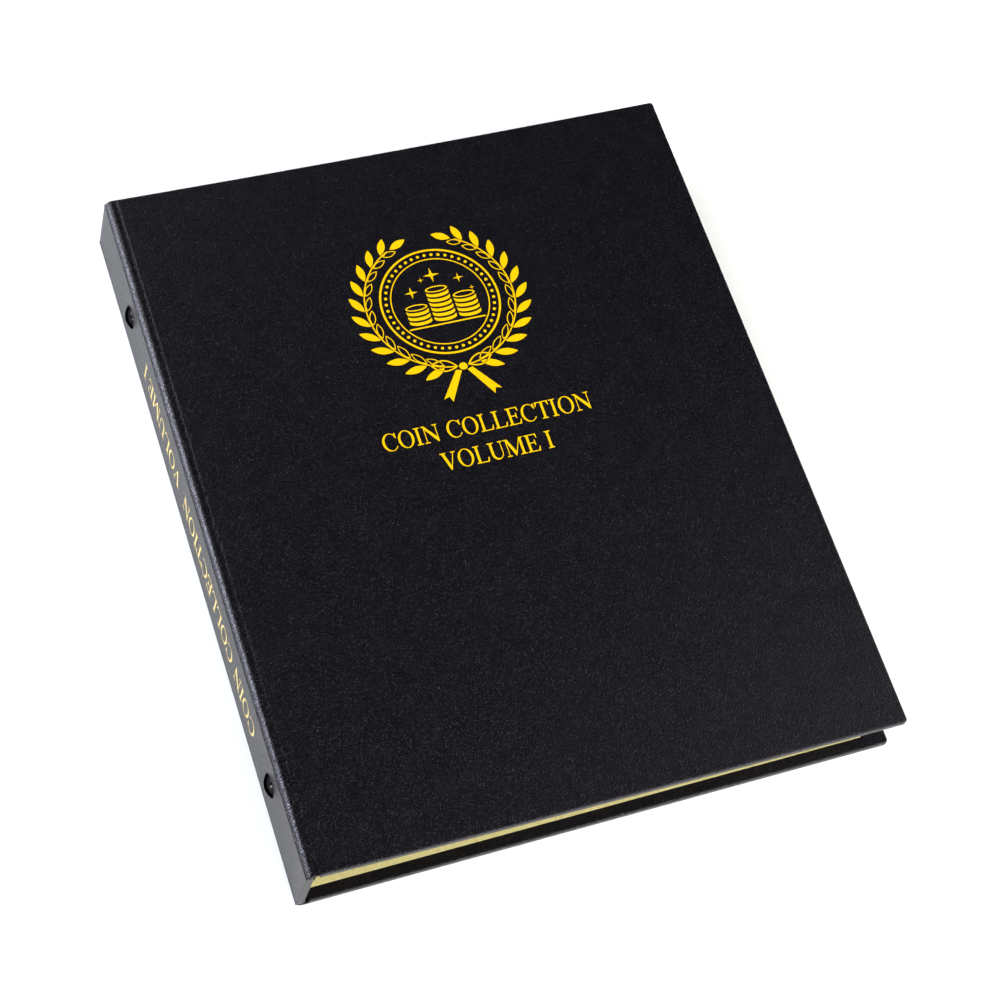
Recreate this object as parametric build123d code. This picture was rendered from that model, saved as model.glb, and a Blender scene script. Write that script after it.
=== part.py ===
"""Coin album: a case-made ring binder with two covers, a leaning spine, a ring mechanism and leaves.

Everything is drawn with the case laid open flat, outer faces down on z = 0: the back cover runs
towards +X from the back joint, the spine towards -X, and the front cover beyond it. The spine and
the front cover are then turned about their joints to close the album.
All sizes are in millimetres. X runs from the spine to the fore edge, Y from tail to head, Z up.
"""
from build123d import *
from math import asin, cos, radians, sin, sqrt
import os

os.makedirs("parts", exist_ok=True)

# ---- case ----
case_height = 280.0        # tail to head
board_width = 221.7        # joint side to fore edge, over the cloth
board = 2.5                # greyboard
cloth = 0.3                # leatherette
lining = 0.4               # lining paper
turn_in = 15.0             # cloth folded over the inside edge
corner_radius = 1.3        # outer corner of a cover
joint_height = 1.0         # height of a joint's axis above the outer faces
cover_gap = 4.1            # from a joint's axis to the cover board
spine_gap = 0.9            # from a joint's axis to the spine board
joint_pitch = 27.5         # between the two joint axes
lining_fore = 9.7          # bare turn-in left at the fore edge
lining_end = 4.5           # bare turn-in left at head and tail
spine_lining_end = 4.0     # from a joint's axis to the spine lining
spine_lean = 5.7           # the closed spine leans over the back cover, degrees
front_drop = 1.9           # the closed front cover falls towards the fore edge, degrees
front_sag = 1.0            # the front cover is hollow by this much at mid width
back_corner = 0.55         # the back joint's cloth turns up to the spine this far from the joint's axis
back_corner_inside = 0.95
shoulder_run = 1.2         # from the front joint's axis to its shoulder
shoulder_sink = 0.1        # the shoulder lies this far under the cover's face
spare = 1.0                # a cutting shape reaches this far past what it cuts
cut_low = -5.0             # a cover's plan shape stands from here
cut_high = 10.0            # up to here, past every layer

# ---- ring mechanism ----
plate_half = 7.0           # half width of the cover plate
plate_sheet = 0.7
plate_side = 5.2           # height where the plate's crown springs
plate_crown = 8.2
plate_length = 238.0
plate_window = 2.6         # open part of the plate at each end, where the lever sits
lip = 1.1                  # the plate's edge turned in under the blades
lip_sheet = 0.4
slot_near = 2.2            # a wire's slot in the plate, from the plate's middle
slot_far = 7.3             # to past its edge
slot_half = 1.7            # half the slot's length
slot_clear = 0.1           # the slot stops this far above the lip
blade_inner = 0.15
blade_outer = 6.1
blade_low = 4.1
blade_thick = 1.0
blade_length = 226.0
blade_hole_play = 0.8      # a blade's hole is wider than the post by this
ring_places = (-80.0, -30.0, 30.0, 80.0)
ring_radius = 7.8          # to the middle of the wire
wire = 2.4                 # wire diameter
ring_centre_z = 12.4
tip_gap = 0.15             # half the gap between the two tips of a ring
ring_reach = 12.0          # half width of the space that holds a ring half
ring_side = 5.0            # half length of that space
ring_top = 30.0            # height of that space
foot_gap = 1.5             # a wire's foot keeps this far from the middle
foot_gap_top = 9.0         # up to this height
mechanism_offset = 0.9     # the mechanism sits above the middle of the spine
ring_opening = 10.0        # each half swings out by this, degrees
rivet_spacing = 195.7
rivet_offset = -2.0        # the pair of rivets sits a little towards the tail
head_diameter = 9.2
head_rise = 1.9
shank = 3.2
shoulder = 4.6
neck = 0.3                 # the shoulder stops this far under the plate's crown
peen_rise = 0.7            # the post's end, spread over the plate
peen_flare = 2.2           # how much wider it is than the shank
lever_width = 11.6
lever_sheet = 0.9
lever_pin = 1.6
lever_pin_play = 0.05
lever_pin_proud = 0.3      # the pin stands out of the plate at each side
knuckle_radius = 1.5
lever_foot = 2.3           # from the pin to the end of the foot on the blades
lever_foot_drop = 1.4      # the foot's underside below the pin
tab_start = 0.6            # the tab starts this far from the pin, inside the knuckle
tab_corner = 3.0
lever_reach = 7.5          # from the pin to the end of the thumb tab
lever_slope = 65.0         # the thumb tab leans outwards, degrees
lever_pin_z = 5.4

# ---- leaves ----
leaf_width = 205.0
leaf_height = 256.0
leaf_corner = 3.0
card_inset_binding = 1.0   # the card is narrower than its page
card_inset_fore = 2.0
leaf_drops = (2.55, 1.35, 0.15, -1.05)   # each page's mid plane below the ring's centre
page_thick = 0.55
card_thick = 0.3
hole_diameter = 6.0
binding_margin = 7.5       # from the binding edge to the hole's centre
leaf_droop = 0.7           # the leaves slope down towards the fore edge, degrees
pocket_columns = 4
pocket_rows = 5
pocket_film = 0.15
pocket_mouth = 1.2
weld = 3.0                 # welded strip between two pockets
outer_weld = 5.0
binding_strip = 18.0

cover_thick = cloth + board + cloth
lined_thick = cover_thick + lining
half = case_height / 2
spine_close = 90 + spine_lean
front_close = 90 + front_drop - spine_lean
mid_x = -joint_pitch / 2 - mechanism_offset


def block(x0, x1, y0, y1, z0, z1):
    """A box between two corners."""
    size = Box(x1 - x0, y1 - y0, z1 - z0)
    return Pos((x0 + x1) / 2, (y0 + y1) / 2, (z0 + z1) / 2) * size


def rod(x, y, z0, z1, diameter):
    """A round bar standing along Z."""
    return Pos(x, y, (z0 + z1) / 2) * Cylinder(diameter / 2, z1 - z0)


def turned(part, x, z, angle):
    """The part turned about the Y line through (x, z)."""
    return Pos(x, 0, z) * Rot(0, angle, 0) * Pos(-x, 0, -z) * part


def spine_closed(part):
    return frame_shift * turned(part, 0, joint_height, spine_close)


def front_closed(part):
    return spine_closed(turned(part, -joint_pitch, joint_height, front_close))


def closed_point(x, z, front=False):
    """Where a point of the open case goes when the album is closed, before the frame shift."""
    def spin(px, pz, cx, cz, angle):
        a = radians(angle)
        dx, dz = px - cx, pz - cz
        return cx + dx * cos(a) + dz * sin(a), cz - dx * sin(a) + dz * cos(a)
    if front:
        x, z = spin(x, z, -joint_pitch, joint_height, front_close)
    return spin(x, z, 0, joint_height, spine_close)


# ---- frame: origin at the middle of the closed album's footprint ----
spine_edge_x = closed_point(joint_height, 0)[0]
dome_x = closed_point(mid_x, -head_rise)[0]
low_spine_x = closed_point(-spine_gap, 0)[0]
front_edge_x = closed_point(-joint_pitch - cover_gap - board_width, cover_thick, True)[0]
front_top_x = closed_point(-joint_pitch - cover_gap - board_width, 0, True)[0]
fore_x = max(front_edge_x, front_top_x)
frame_x = -(min(dome_x, low_spine_x) + fore_x) / 2
frame_shift = Pos(frame_x, 0, 0)


# ---- covers ----
def slab(sag, w0, w1):
    """A cover's layer from depth w0 to w1, hollow on its outer side by sag, wider than the cover."""
    ends = (-spare, board_width + spare)
    if sag == 0:
        return block(ends[0], ends[1], -half - spare, half + spare, w0, w1)
    radius = board_width ** 2 / (8 * sag) + sag / 2

    def point(a, w):
        angle = (a - board_width / 2) / radius
        reach = radius + w
        return (board_width / 2 + reach * sin(angle), 0, reach * cos(angle) - radius + sag)
    mid = board_width / 2
    outer = ThreePointArc(point(ends[0], w0), point(mid, w0), point(ends[1], w0))
    side = Line(point(ends[1], w0), point(ends[1], w1))
    inner = ThreePointArc(point(ends[1], w1), point(mid, w1), point(ends[0], w1))
    back = Line(point(ends[0], w1), point(ends[0], w0))
    return extrude(make_face([outer, side, inner, back]), amount=half + spare, both=True)


def plan(inset_fore, inset_end, radius, start=0.0):
    """A cover's outline in plan, square at the joint side and rounded at the fore edge."""
    fore = board_width - inset_fore
    end = half - inset_end
    shape = block(start, fore, -end, end, cut_low, cut_high)
    if radius > 0:
        shape = fillet(shape.edges().filter_by(Axis.Z).sort_by(Axis.X)[-2:], radius)
    return shape


def cover_pieces(sag):
    """Board, cloth and lining of a cover lying outer face down, joint side at x = 0."""
    core = slab(sag, cloth, cloth + board) & plan(cloth, cloth, corner_radius - cloth)
    wrap = (slab(sag, 0, cover_thick) & plan(0, 0, corner_radius)) - core
    wrap -= slab(sag, cloth + board, cover_thick + spare) & plan(turn_in, turn_in, 0, -2 * spare)
    paper = slab(sag, cloth + board, lined_thick) & plan(lining_fore, lining_end, 0)
    paper -= wrap
    return core, wrap, paper


def make_back_cover():
    place = frame_shift * Pos(cover_gap, 0, 0)
    names = ("back_board", "back_cover_cloth", "back_lining")
    return {name: place * piece for name, piece in zip(names, cover_pieces(0.0))}


def make_front_cover():
    place = Pos(-joint_pitch - cover_gap, 0, 0) * Rot(0, 0, 180)
    names = ("front_board", "front_cover_cloth", "front_lining")
    return {name: front_closed(place * piece) for name, piece in zip(names, cover_pieces(front_sag))}


# ---- spine ----
def rivet_places():
    return (("head", rivet_offset + rivet_spacing / 2), ("tail", rivet_offset - rivet_spacing / 2))


def make_spine():
    x0 = -joint_pitch + spine_gap
    x1 = -spine_gap
    core = block(x0, x1, -half + cloth, half - cloth, cloth, cloth + board)
    wrap = block(x0, x1, -half, half, 0, cover_thick) - core
    wrap -= block(x0, x1, -half + turn_in, half - turn_in, cloth + board, cover_thick + spare)
    paper = block(-joint_pitch + spine_lining_end, -spine_lining_end,
                  -half + lining_end, half - lining_end, cloth + board, lined_thick) - wrap
    pieces = {"spine_board": core, "spine_cloth": wrap, "spine_lining": paper}
    for name in pieces:
        for _, y in rivet_places():
            pieces[name] -= rod(mid_x, y, -spare, lined_thick + spare, shank)
    return {name: spine_closed(piece) for name, piece in pieces.items()}


# ---- cloth joints between spine and covers ----
def strip(outline, y_half):
    """A closed outline in the XZ plane, run along Y."""
    points = [(x, 0, z) for x, z in outline]
    face = make_face(Polyline(*points, close=True).edges())
    return frame_shift * extrude(face, amount=y_half, both=True)


def make_joints():
    """The bent cloth and lining of both joints as they lie in the closed album."""
    back_outer = closed_point(-spine_gap, 0)
    back_inner = closed_point(-spine_gap, cloth)
    corner = (back_corner, 0)
    corner_in = (back_corner_inside, cloth)
    back_cloth = [back_outer, corner, (cover_gap, 0), (cover_gap, cloth), corner_in, back_inner]
    fx = -joint_pitch
    ridge = closed_point(fx + spine_gap, 0)
    ridge_in = closed_point(fx + spine_gap, cloth)
    shoulder_out = closed_point(fx - shoulder_run, shoulder_sink, True)
    shoulder_in = closed_point(fx - shoulder_run, shoulder_sink + cloth, True)
    start = closed_point(fx - cover_gap, 0, True)
    start_in = closed_point(fx - cover_gap, cloth, True)
    front_cloth = [ridge, shoulder_out, start, start_in, shoulder_in, ridge_in]
    s0 = closed_point(-spine_lining_end, lined_thick)
    s1 = closed_point(-spine_lining_end, cover_thick)
    back_paper = [s0, (cover_gap, lined_thick), (cover_gap, cover_thick), s1]
    f0 = closed_point(fx + spine_lining_end, lined_thick)
    f1 = closed_point(fx + spine_lining_end, cover_thick)
    c0 = closed_point(fx - cover_gap, lined_thick, True)
    c1 = closed_point(fx - cover_gap, cover_thick, True)
    front_paper = [f0, c0, c1, f1]
    return {"back_joint_cloth": strip(back_cloth, half),
            "front_joint_cloth": strip(front_cloth, half),
            "back_joint_lining": strip(back_paper, half - lining_end),
            "front_joint_lining": strip(front_paper, half - lining_end)}


# ---- ring mechanism ----
def plate_profile():
    """The cover plate's section: a crowned channel with its edges turned in under the blades."""
    def crown(x_out, side, top):
        left, right = (-x_out, 0, side), (x_out, 0, side)
        arc = ThreePointArc(left, (0, 0, top), right)
        base = Polyline(right, (x_out, 0, lined_thick), (-x_out, 0, lined_thick), left)
        return make_face([arc, *base.edges()])
    outer = crown(plate_half, plate_side, plate_crown)
    inner = crown(plate_half - plate_sheet, plate_side, plate_crown - plate_sheet)
    return outer, inner


def make_plate():
    outer, inner = plate_profile()
    shell = extrude(outer, amount=plate_length / 2, both=True)
    shell -= extrude(inner, amount=plate_length, both=True)
    lip_x = plate_half - plate_sheet
    lip_top = lined_thick + lip_sheet
    for side in (-1, 1):
        near, far = sorted((side * lip_x, side * (lip_x - lip)))
        lip_run = plate_length / 2 - 2 * plate_window
        shell += block(near, far, -lip_run, lip_run, lined_thick, lip_top)
        for y in ring_places:
            near, far = sorted((side * slot_near, side * slot_far))
            slot_low = lip_top + slot_clear
            shell -= block(near, far, y - slot_half, y + slot_half, slot_low, plate_crown + spare)
    for end in (-1, 1):
        near, far = sorted((end * (plate_length / 2 - 2 * plate_window), end * plate_length))
        shell -= block(-lip_x, lip_x, near, far, lined_thick, plate_crown + spare)
        pin_hole = Cylinder(lever_pin / 2, 4 * plate_half)
        shell -= Pos(0, end * (plate_length / 2 - plate_window), lever_pin_z) * Rot(0, 90, 0) * pin_hole
    for _, y in rivet_places():
        shell -= rod(0, y, plate_side, plate_crown + spare, shank)
    return shell


def make_blade(side):
    near, far = sorted((side * blade_inner, side * blade_outer))
    blade = block(near, far, -blade_length / 2, blade_length / 2, blade_low, blade_low + blade_thick)
    for _, y in rivet_places():
        blade -= rod(0, y, blade_low - spare, blade_low + blade_thick + spare, shoulder + blade_hole_play)
    return blade


def make_ring_half(side, y):
    loop = Pos(0, y, ring_centre_z) * Rot(90, 0, 0) * Torus(ring_radius, wire / 2)
    near, far = sorted((side * tip_gap, side * ring_reach))
    keep = block(near, far, y - ring_side, y + ring_side, blade_low + blade_thick, ring_top)
    near, far = sorted((0, side * foot_gap))
    return (loop & keep) - block(near, far, y - ring_side, y + ring_side, 0, foot_gap_top)


def make_rivet(y):
    """The black dome outside the spine, and the shouldered post that holds the plate."""
    radius = (head_diameter ** 2 / 4 + head_rise ** 2) / (2 * head_rise)
    dome = Pos(mid_x, y, radius - head_rise) * Sphere(radius)
    reach = head_diameter
    dome &= block(mid_x - reach, mid_x + reach, y - reach, y + reach, -head_rise - spare, 0)
    crown_under = plate_crown - plate_sheet
    post = rod(mid_x, y, 0, lined_thick, shank)
    post += rod(mid_x, y, lined_thick, crown_under - neck, shoulder)
    post += rod(mid_x, y, crown_under - neck, plate_crown, shank)
    post += rod(mid_x, y, plate_crown, plate_crown + peen_rise, shank + peen_flare)
    return dome, post


def make_lever(end):
    """A bent lever with a knuckle round its pin and a thumb tab that leans outwards."""
    pin_y = end * (plate_length / 2 - plate_window)
    pin_z = lever_pin_z
    half_w = lever_width / 2
    knuckle = Pos(0, pin_y, pin_z) * Rot(0, 90, 0) * Cylinder(knuckle_radius, lever_width)
    near, far = sorted((pin_y, pin_y - end * lever_foot))
    foot_z = pin_z - lever_foot_drop
    foot = block(-half_w, half_w, near, far, foot_z, foot_z + lever_sheet)
    tab = block(-half_w, half_w, -lever_sheet / 2, lever_sheet / 2, tab_start, lever_reach)
    tab = fillet(tab.edges().filter_by(Axis.Y).sort_by(Axis.Z)[-2:], tab_corner)
    tab = Pos(0, pin_y, pin_z) * Rot(-end * lever_slope, 0, 0) * tab
    lever = knuckle + foot + tab
    bore = Cylinder(lever_pin / 2 + lever_pin_play, 2 * lever_width)
    return lever - Pos(0, pin_y, pin_z) * Rot(0, 90, 0) * bore


def make_lever_pin(end):
    pin_y = end * (plate_length / 2 - plate_window)
    pin = Cylinder(lever_pin / 2, 2 * (plate_half + lever_pin_proud))
    return Pos(0, pin_y, lever_pin_z) * Rot(0, 90, 0) * pin


def make_mechanism():
    at = Pos(mid_x, 0, 0)
    pieces = {"ring_plate": at * make_plate()}
    for name, side in (("back", 1), ("front", -1)):
        pieces[name + "_blade"] = at * make_blade(side)
        for number, y in enumerate(ring_places, 1):
            pieces[f"ring_{number}_{name}_half"] = at * make_ring_half(side, y)
    for name, end in (("head", 1), ("tail", -1)):
        pieces[name + "_lever"] = at * make_lever(end)
        pieces[name + "_lever_pin"] = at * make_lever_pin(end)
    for name, y in rivet_places():
        dome, post = make_rivet(y)
        pieces[name + "_rivet_cap"] = dome
        pieces[name + "_rivet_post"] = post
    return {name: spine_closed(piece) for name, piece in pieces.items()}


# ---- leaves ----
ring_x, ring_z = closed_point(mid_x, ring_centre_z)


def hole_x(drop):
    """The hole sits midway between the wire's place in the shut ring and in the open ring."""
    swing = radians(ring_opening)
    arm_x = ring_centre_z - blade_low - blade_thick / 2
    arm_z = blade_outer
    out = arm_x * cos(swing) + arm_z * sin(swing) - arm_x
    down = arm_x * sin(swing) - arm_z * cos(swing) + arm_z
    tip_drop = ring_radius * sin(radians(spine_lean))
    opened_drop = down - drop if drop > tip_drop else down + drop
    shut = sqrt(ring_radius ** 2 - drop ** 2)
    opened = sqrt(ring_radius ** 2 - opened_drop ** 2) + out
    shut_inner = shut - wire / 2 / cos(asin(drop / ring_radius))
    return (shut_inner + opened + wire / 2) / 2


def leaf_blank(x0, x1, z0, z1, centre):
    sheet = block(x0, x1, -leaf_height / 2, leaf_height / 2, z0, z1)
    sheet = fillet(sheet.edges().filter_by(Axis.Z), leaf_corner)
    for y in ring_places:
        sheet -= rod(centre, y, z0 - spare, z1 + spare, hole_diameter)
    return sheet


def make_pockets(x0, x1, top):
    """The empty spaces between the two films, each with a mouth cut in the upper film."""
    width = (x1 - x0 - 2 * outer_weld - (pocket_columns - 1) * weld) / pocket_columns
    span = leaf_height - 2 * outer_weld - (pocket_rows - 1) * weld
    depth = span / pocket_rows
    low = top - page_thick + pocket_film
    high = top - pocket_film
    spaces = []
    for column in range(pocket_columns):
        px = x0 + outer_weld + column * (width + weld)
        for row in range(pocket_rows):
            py = -leaf_height / 2 + outer_weld + row * (depth + weld)
            spaces.append(block(px, px + width, py, py + depth, low, high))
            mouth_top = py + depth
            spaces.append(block(px, px + width, mouth_top - pocket_mouth, mouth_top, low, top + spare))
    return spaces


def make_leaves():
    pieces = {}
    for number, drop in enumerate(leaf_drops, 1):
        centre = hole_x(drop)
        x0 = centre - binding_margin
        x1 = x0 + leaf_width
        top = -drop + page_thick / 2
        page = leaf_blank(x0, x1, top - page_thick, top, centre)
        page -= make_pockets(x0 + binding_strip, x1, top)
        card_top = top - page_thick
        card_x0 = x0 + card_inset_binding
        card_x1 = x1 - card_inset_fore
        card = leaf_blank(card_x0, card_x1, card_top - card_thick, card_top, centre)
        for name, piece in (("page", page), ("card", card)):
            drooped = Rot(0, leaf_droop, 0) * piece
            pieces[f"leaf_{number}_{name}"] = frame_shift * Pos(ring_x, 0, ring_z) * drooped
    return pieces


# ---- write ----
all_pieces = {}
for group in (make_back_cover(), make_spine(), make_front_cover(), make_joints(),
              make_mechanism(), make_leaves()):
    all_pieces.update(group)
for name, piece in all_pieces.items():
    export_step(piece, f"parts/{name}.step")

print("frame shift", round(frame_x, 4))
pivots = {"spine_hinge": (0, joint_height),
          "front_hinge": closed_point(-joint_pitch, joint_height),
          "back_blade": closed_point(mid_x + blade_outer, blade_low + blade_thick / 2),
          "front_blade": closed_point(mid_x - blade_outer, blade_low + blade_thick / 2),
          "lever_pin": closed_point(mid_x, lever_pin_z),
          "leaves": (ring_x, ring_z)}
for name, (x, z) in pivots.items():
    print(name, round(x + frame_x, 4), round(z, 4))
print("lever pins at y", plate_length / 2 - plate_window)
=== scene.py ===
"""Looks of the coin album: leatherette skins, papers, foil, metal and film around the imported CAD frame."""
from math import cos, hypot, pi, radians, sin

import bmesh
import bpy
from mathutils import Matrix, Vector


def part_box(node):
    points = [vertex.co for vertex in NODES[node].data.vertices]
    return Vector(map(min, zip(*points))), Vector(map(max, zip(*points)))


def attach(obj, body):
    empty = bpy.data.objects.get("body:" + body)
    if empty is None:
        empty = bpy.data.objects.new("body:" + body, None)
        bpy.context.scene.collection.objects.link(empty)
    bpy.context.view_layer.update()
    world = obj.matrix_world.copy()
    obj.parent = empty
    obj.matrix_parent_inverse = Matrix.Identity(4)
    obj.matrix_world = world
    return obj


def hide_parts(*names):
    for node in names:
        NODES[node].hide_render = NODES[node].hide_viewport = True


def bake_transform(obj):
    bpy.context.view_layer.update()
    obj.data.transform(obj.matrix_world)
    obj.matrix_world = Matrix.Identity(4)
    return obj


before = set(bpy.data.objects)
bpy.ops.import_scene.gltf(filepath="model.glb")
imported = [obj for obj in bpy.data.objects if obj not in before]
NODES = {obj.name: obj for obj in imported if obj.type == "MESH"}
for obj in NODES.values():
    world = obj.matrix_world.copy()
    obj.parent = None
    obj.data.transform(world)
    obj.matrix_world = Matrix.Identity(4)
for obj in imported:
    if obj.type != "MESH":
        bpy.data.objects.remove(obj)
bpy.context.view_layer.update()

MM = 0.001

# ---- sizes of the case, in millimetres, as in the CAD source ----
HALF = 140.0               # half the case's height
WIDTH = 221.7              # joint side to fore edge of a cover
COVER = 3.1                # board with cloth on both sides
CLOTH = 0.3
SKIN = 0.28                # cloth thickness drawn, a hair clear of the board
TURN_IN = 15.0
CORNER = 1.3               # outer corner of a cover, in plan
EDGE = 0.5                 # rounding of the cloth over a board's edge
GAP = 4.1                  # joint axis to cover board
SPINE_GAP = 0.9            # joint axis to spine board
PITCH = 27.5               # between the two joint axes
AXIS = 1.0                 # height of a joint axis above the outer faces
LINED = 3.5                # cover with its lining
SPINE_LINING = 4.0         # joint axis to the spine's lining
LINING_END = 4.5
SPINE_CLOSE = radians(95.7)
FRONT_CLOSE = radians(86.2)
SAG = 1.0                  # the front cover is hollow by this much at mid width
SKIN_START = 0.02          # a cover's own skin starts at its board's edge
FRAME_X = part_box("back_board")[0].x / MM - GAP


# ---- from the flat, open case to the closed album ----
def spun(x, z, cx, angle):
    """The point turned about the joint axis at cx."""
    dx = x - cx
    dz = z - AXIS
    return cx + dx * cos(angle) + dz * sin(angle), AXIS - dx * sin(angle) + dz * cos(angle)


def on_back(x, y, z):
    return Vector((FRAME_X + x, y, z)) * MM


def on_spine(x, y, z):
    x, z = spun(x, z, 0.0, SPINE_CLOSE)
    return on_back(x, y, z)


def on_front(x, y, z):
    x, z = spun(x, z, -PITCH, FRONT_CLOSE)
    return on_spine(x, y, z)


def hollow(a):
    """Depth of the front cover's hollow at distance a from its joint side."""
    return SAG * (1 - (2 * a / WIDTH - 1) ** 2)


def front_place(a, y, w):
    return on_front(-PITCH - GAP - a, y, w + hollow(a))


def back_place(a, y, w):
    return on_back(GAP + a, y, w)


def spine_place(s, y, w):
    """s is the distance from the back joint's axis, w the depth under the spine's outer face."""
    return on_spine(-s, y, w)


# ---- mesh helpers ----
SAME_POINT = 1e-4          # points this close are one point
NO_LENGTH = 1e-5
LONG_STEP = 4.0            # between points along the height of a skin
COVER_STEP = 3.0           # between points across a cover
SPINE_STEP = 2.0           # between points across the spine
BEND_STEP = 0.12           # between points along a joint skin's bend
FOLD_STEP = 0.2            # the same for the strips inside a joint
SHARP = radians(40)        # edges bent more than this stay crisp


def spread(low, high, step):
    """Evenly spread numbers from low to high, about step apart."""
    count = max(1, round((high - low) / step))
    return [low + (high - low) * i / count for i in range(count + 1)]


def join_up(bm):
    """Joins the points that lie on each other and drops faces without area."""
    bmesh.ops.remove_doubles(bm, verts=bm.verts, dist=SAME_POINT)
    bmesh.ops.dissolve_degenerate(bm, dist=NO_LENGTH, edges=bm.edges)


def finish_mesh(name, bm, place, flat, material, smooth=True):
    """Makes the object: place() turns a vertex's own numbers into the frame, flat() into the cloth's."""
    join_up(bm)
    flats = [flat(*v.co) for v in bm.verts]
    for v in bm.verts:
        v.co = place(*v.co)
    bmesh.ops.recalc_face_normals(bm, faces=bm.faces)
    mesh = bpy.data.meshes.new(name)
    bm.to_mesh(mesh)
    bm.free()
    values = mesh.attributes.new("flat", "FLOAT_VECTOR", "POINT")
    values.data.foreach_set("vector", [c * MM for p in flats for c in p])
    for face in mesh.polygons:
        face.use_smooth = smooth
    mesh.materials.append(material)
    obj = bpy.data.objects.new(name, mesh)
    bpy.context.scene.collection.objects.link(obj)
    return obj


def grid(bm, rows):
    """Faces between rows of equally many points."""
    made = [[bm.verts.new(p) for p in row] for row in rows]
    for low, high in zip(made, made[1:]):
        for i in range(len(low) - 1):
            bm.faces.new((low[i], low[i + 1], high[i + 1], high[i]))


def quarter(steps=5):
    return [pi / 2 * i / steps for i in range(steps + 1)]


def soft_normals(obj):
    """Smooth faces that stay crisp across sharp edges."""
    mesh = obj.data
    bm = bmesh.new()
    bm.from_mesh(mesh)
    for edge in bm.edges:
        edge.smooth = len(edge.link_faces) == 2 and edge.calc_face_angle(0.0) < SHARP
    bm.to_mesh(mesh)
    bm.free()
    return obj


# ---- cover skins ----
def outline(inset, stations, rises):
    """A cover's outline in plan, set in from its edge, from the joint side round the fore edge and back."""
    reach = WIDTH - inset
    end = HALF - inset
    radius = max(CORNER - inset, 0.0)
    tail = [(min(a, reach), -end) for a in stations]
    turn = [(WIDTH - max(CORNER, inset) + radius * sin(t), -HALF + max(CORNER, inset) - radius * cos(t))
            for t in quarter()]
    fore = [(reach, max(-end, min(end, y))) for y in rises]
    head_turn = [(a, -y) for a, y in reversed(turn)]
    head = [(a, -y) for a, y in reversed(tail)]
    return tail + turn + fore + head_turn + head


BAND_POINTS = (6.0, 10.0)   # points between, on the band turned in


def wrap_profile():
    """Inset and depth of the cloth as it goes round a board's edge, and back along its underside."""
    outer = [(EDGE - EDGE * sin(t), EDGE - EDGE * cos(t)) for t in quarter()]
    inner = [(EDGE - EDGE * cos(t), COVER - EDGE + EDGE * sin(t)) for t in quarter()]
    band = [(inset, COVER) for inset in (CORNER, *BAND_POINTS, TURN_IN - 0.25)]
    edge = [(TURN_IN - 0.07, COVER - 0.05), (TURN_IN, COVER - 0.14), (TURN_IN, COVER - SKIN)]
    under = [(CLOTH, COVER - SKIN), (CLOTH, SKIN), (CORNER, SKIN)]
    return [(CORNER, 0.0)] + outer + inner + band + edge + under


def cover_skin(name, place, flat, material):
    """Leatherette over a cover: outer face, rounded edges and the band turned in, with real thickness."""
    bm = bmesh.new()
    stations = spread(SKIN_START, WIDTH - CORNER, COVER_STEP)
    rises = spread(-HALF + CORNER, HALF - CORNER, LONG_STEP)
    for w in (0.0, SKIN):
        grid(bm, [[(a, y, w) for a in stations] for y in rises])
    rings = [[(a, y, w) for a, y in outline(inset, stations, rises)] for inset, w in wrap_profile()]
    grid(bm, rings)
    join_up(bm)
    open_edges = [e for e in bm.edges if e.is_boundary]
    bmesh.ops.edgenet_fill(bm, edges=open_edges)
    return soft_normals(finish_mesh(name, bm, place, flat, material))


# ---- spine and joint skins: one section run along a line of stations ----
def shell_section(thick, edge, rises):
    """Closed section across the height: outer face, both edges and turn-ins, then back along the inside."""
    inside = HALF - TURN_IN
    outer = [(y, 0.0) for y in rises if abs(y) < HALF - edge]
    head = [(HALF - edge + edge * sin(t), edge - edge * cos(t)) for t in quarter()]
    head += [(HALF - edge + edge * cos(t), thick - edge + edge * sin(t)) for t in quarter()]
    head += [(inside + 6, thick), (inside + 0.2, thick), (inside, thick - 0.1), (inside, thick - SKIN + 0.01)]
    head += [(HALF - CLOTH, thick - SKIN), (HALF - CLOTH, SKIN)]
    tail = [(-y, w) for y, w in reversed(head)]
    back = [(y, SKIN) for y in reversed(rises) if abs(y) < HALF - CLOTH]
    return outer + head + back + tail


def tube(bm, section, stations):
    """The closed section carried along the stations, with both ends closed."""
    rings = [[bm.verts.new((s, y, w)) for y, w in section] for s in stations]
    count = len(section)
    for low, high in zip(rings, rings[1:]):
        for i in range(count):
            j = (i + 1) % count
            bm.faces.new((low[i], low[j], high[j], high[i]))
    for ring in (rings[0], rings[-1]):
        bm.faces.new(ring)


def run_section(name, section, stations, place, flat, material):
    """One piece from a section carried along the stations."""
    bm = bmesh.new()
    tube(bm, section, stations)
    return soft_normals(finish_mesh(name, bm, place, flat, material))


def smooth_line(points, step):
    """A Catmull-Rom line through the points, as closely spaced points."""
    ends = [points[0]] + points + [points[-1]]
    line = []
    for p0, p1, p2, p3 in zip(ends, ends[1:], ends[2:], ends[3:]):
        count = max(2, round(hypot(p2[0] - p1[0], p2[1] - p1[1]) / step))
        for i in range(count):
            t = i / count
            line.append(tuple(0.5 * (2 * b + (c - a) * t + (2 * a - 5 * b + 4 * c - d) * t * t
                                     + (3 * b - a - 3 * c + d) * t ** 3)
                              for a, b, c, d in zip(p0, p1, p2, p3)))
    return line + [points[-1]]


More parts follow.
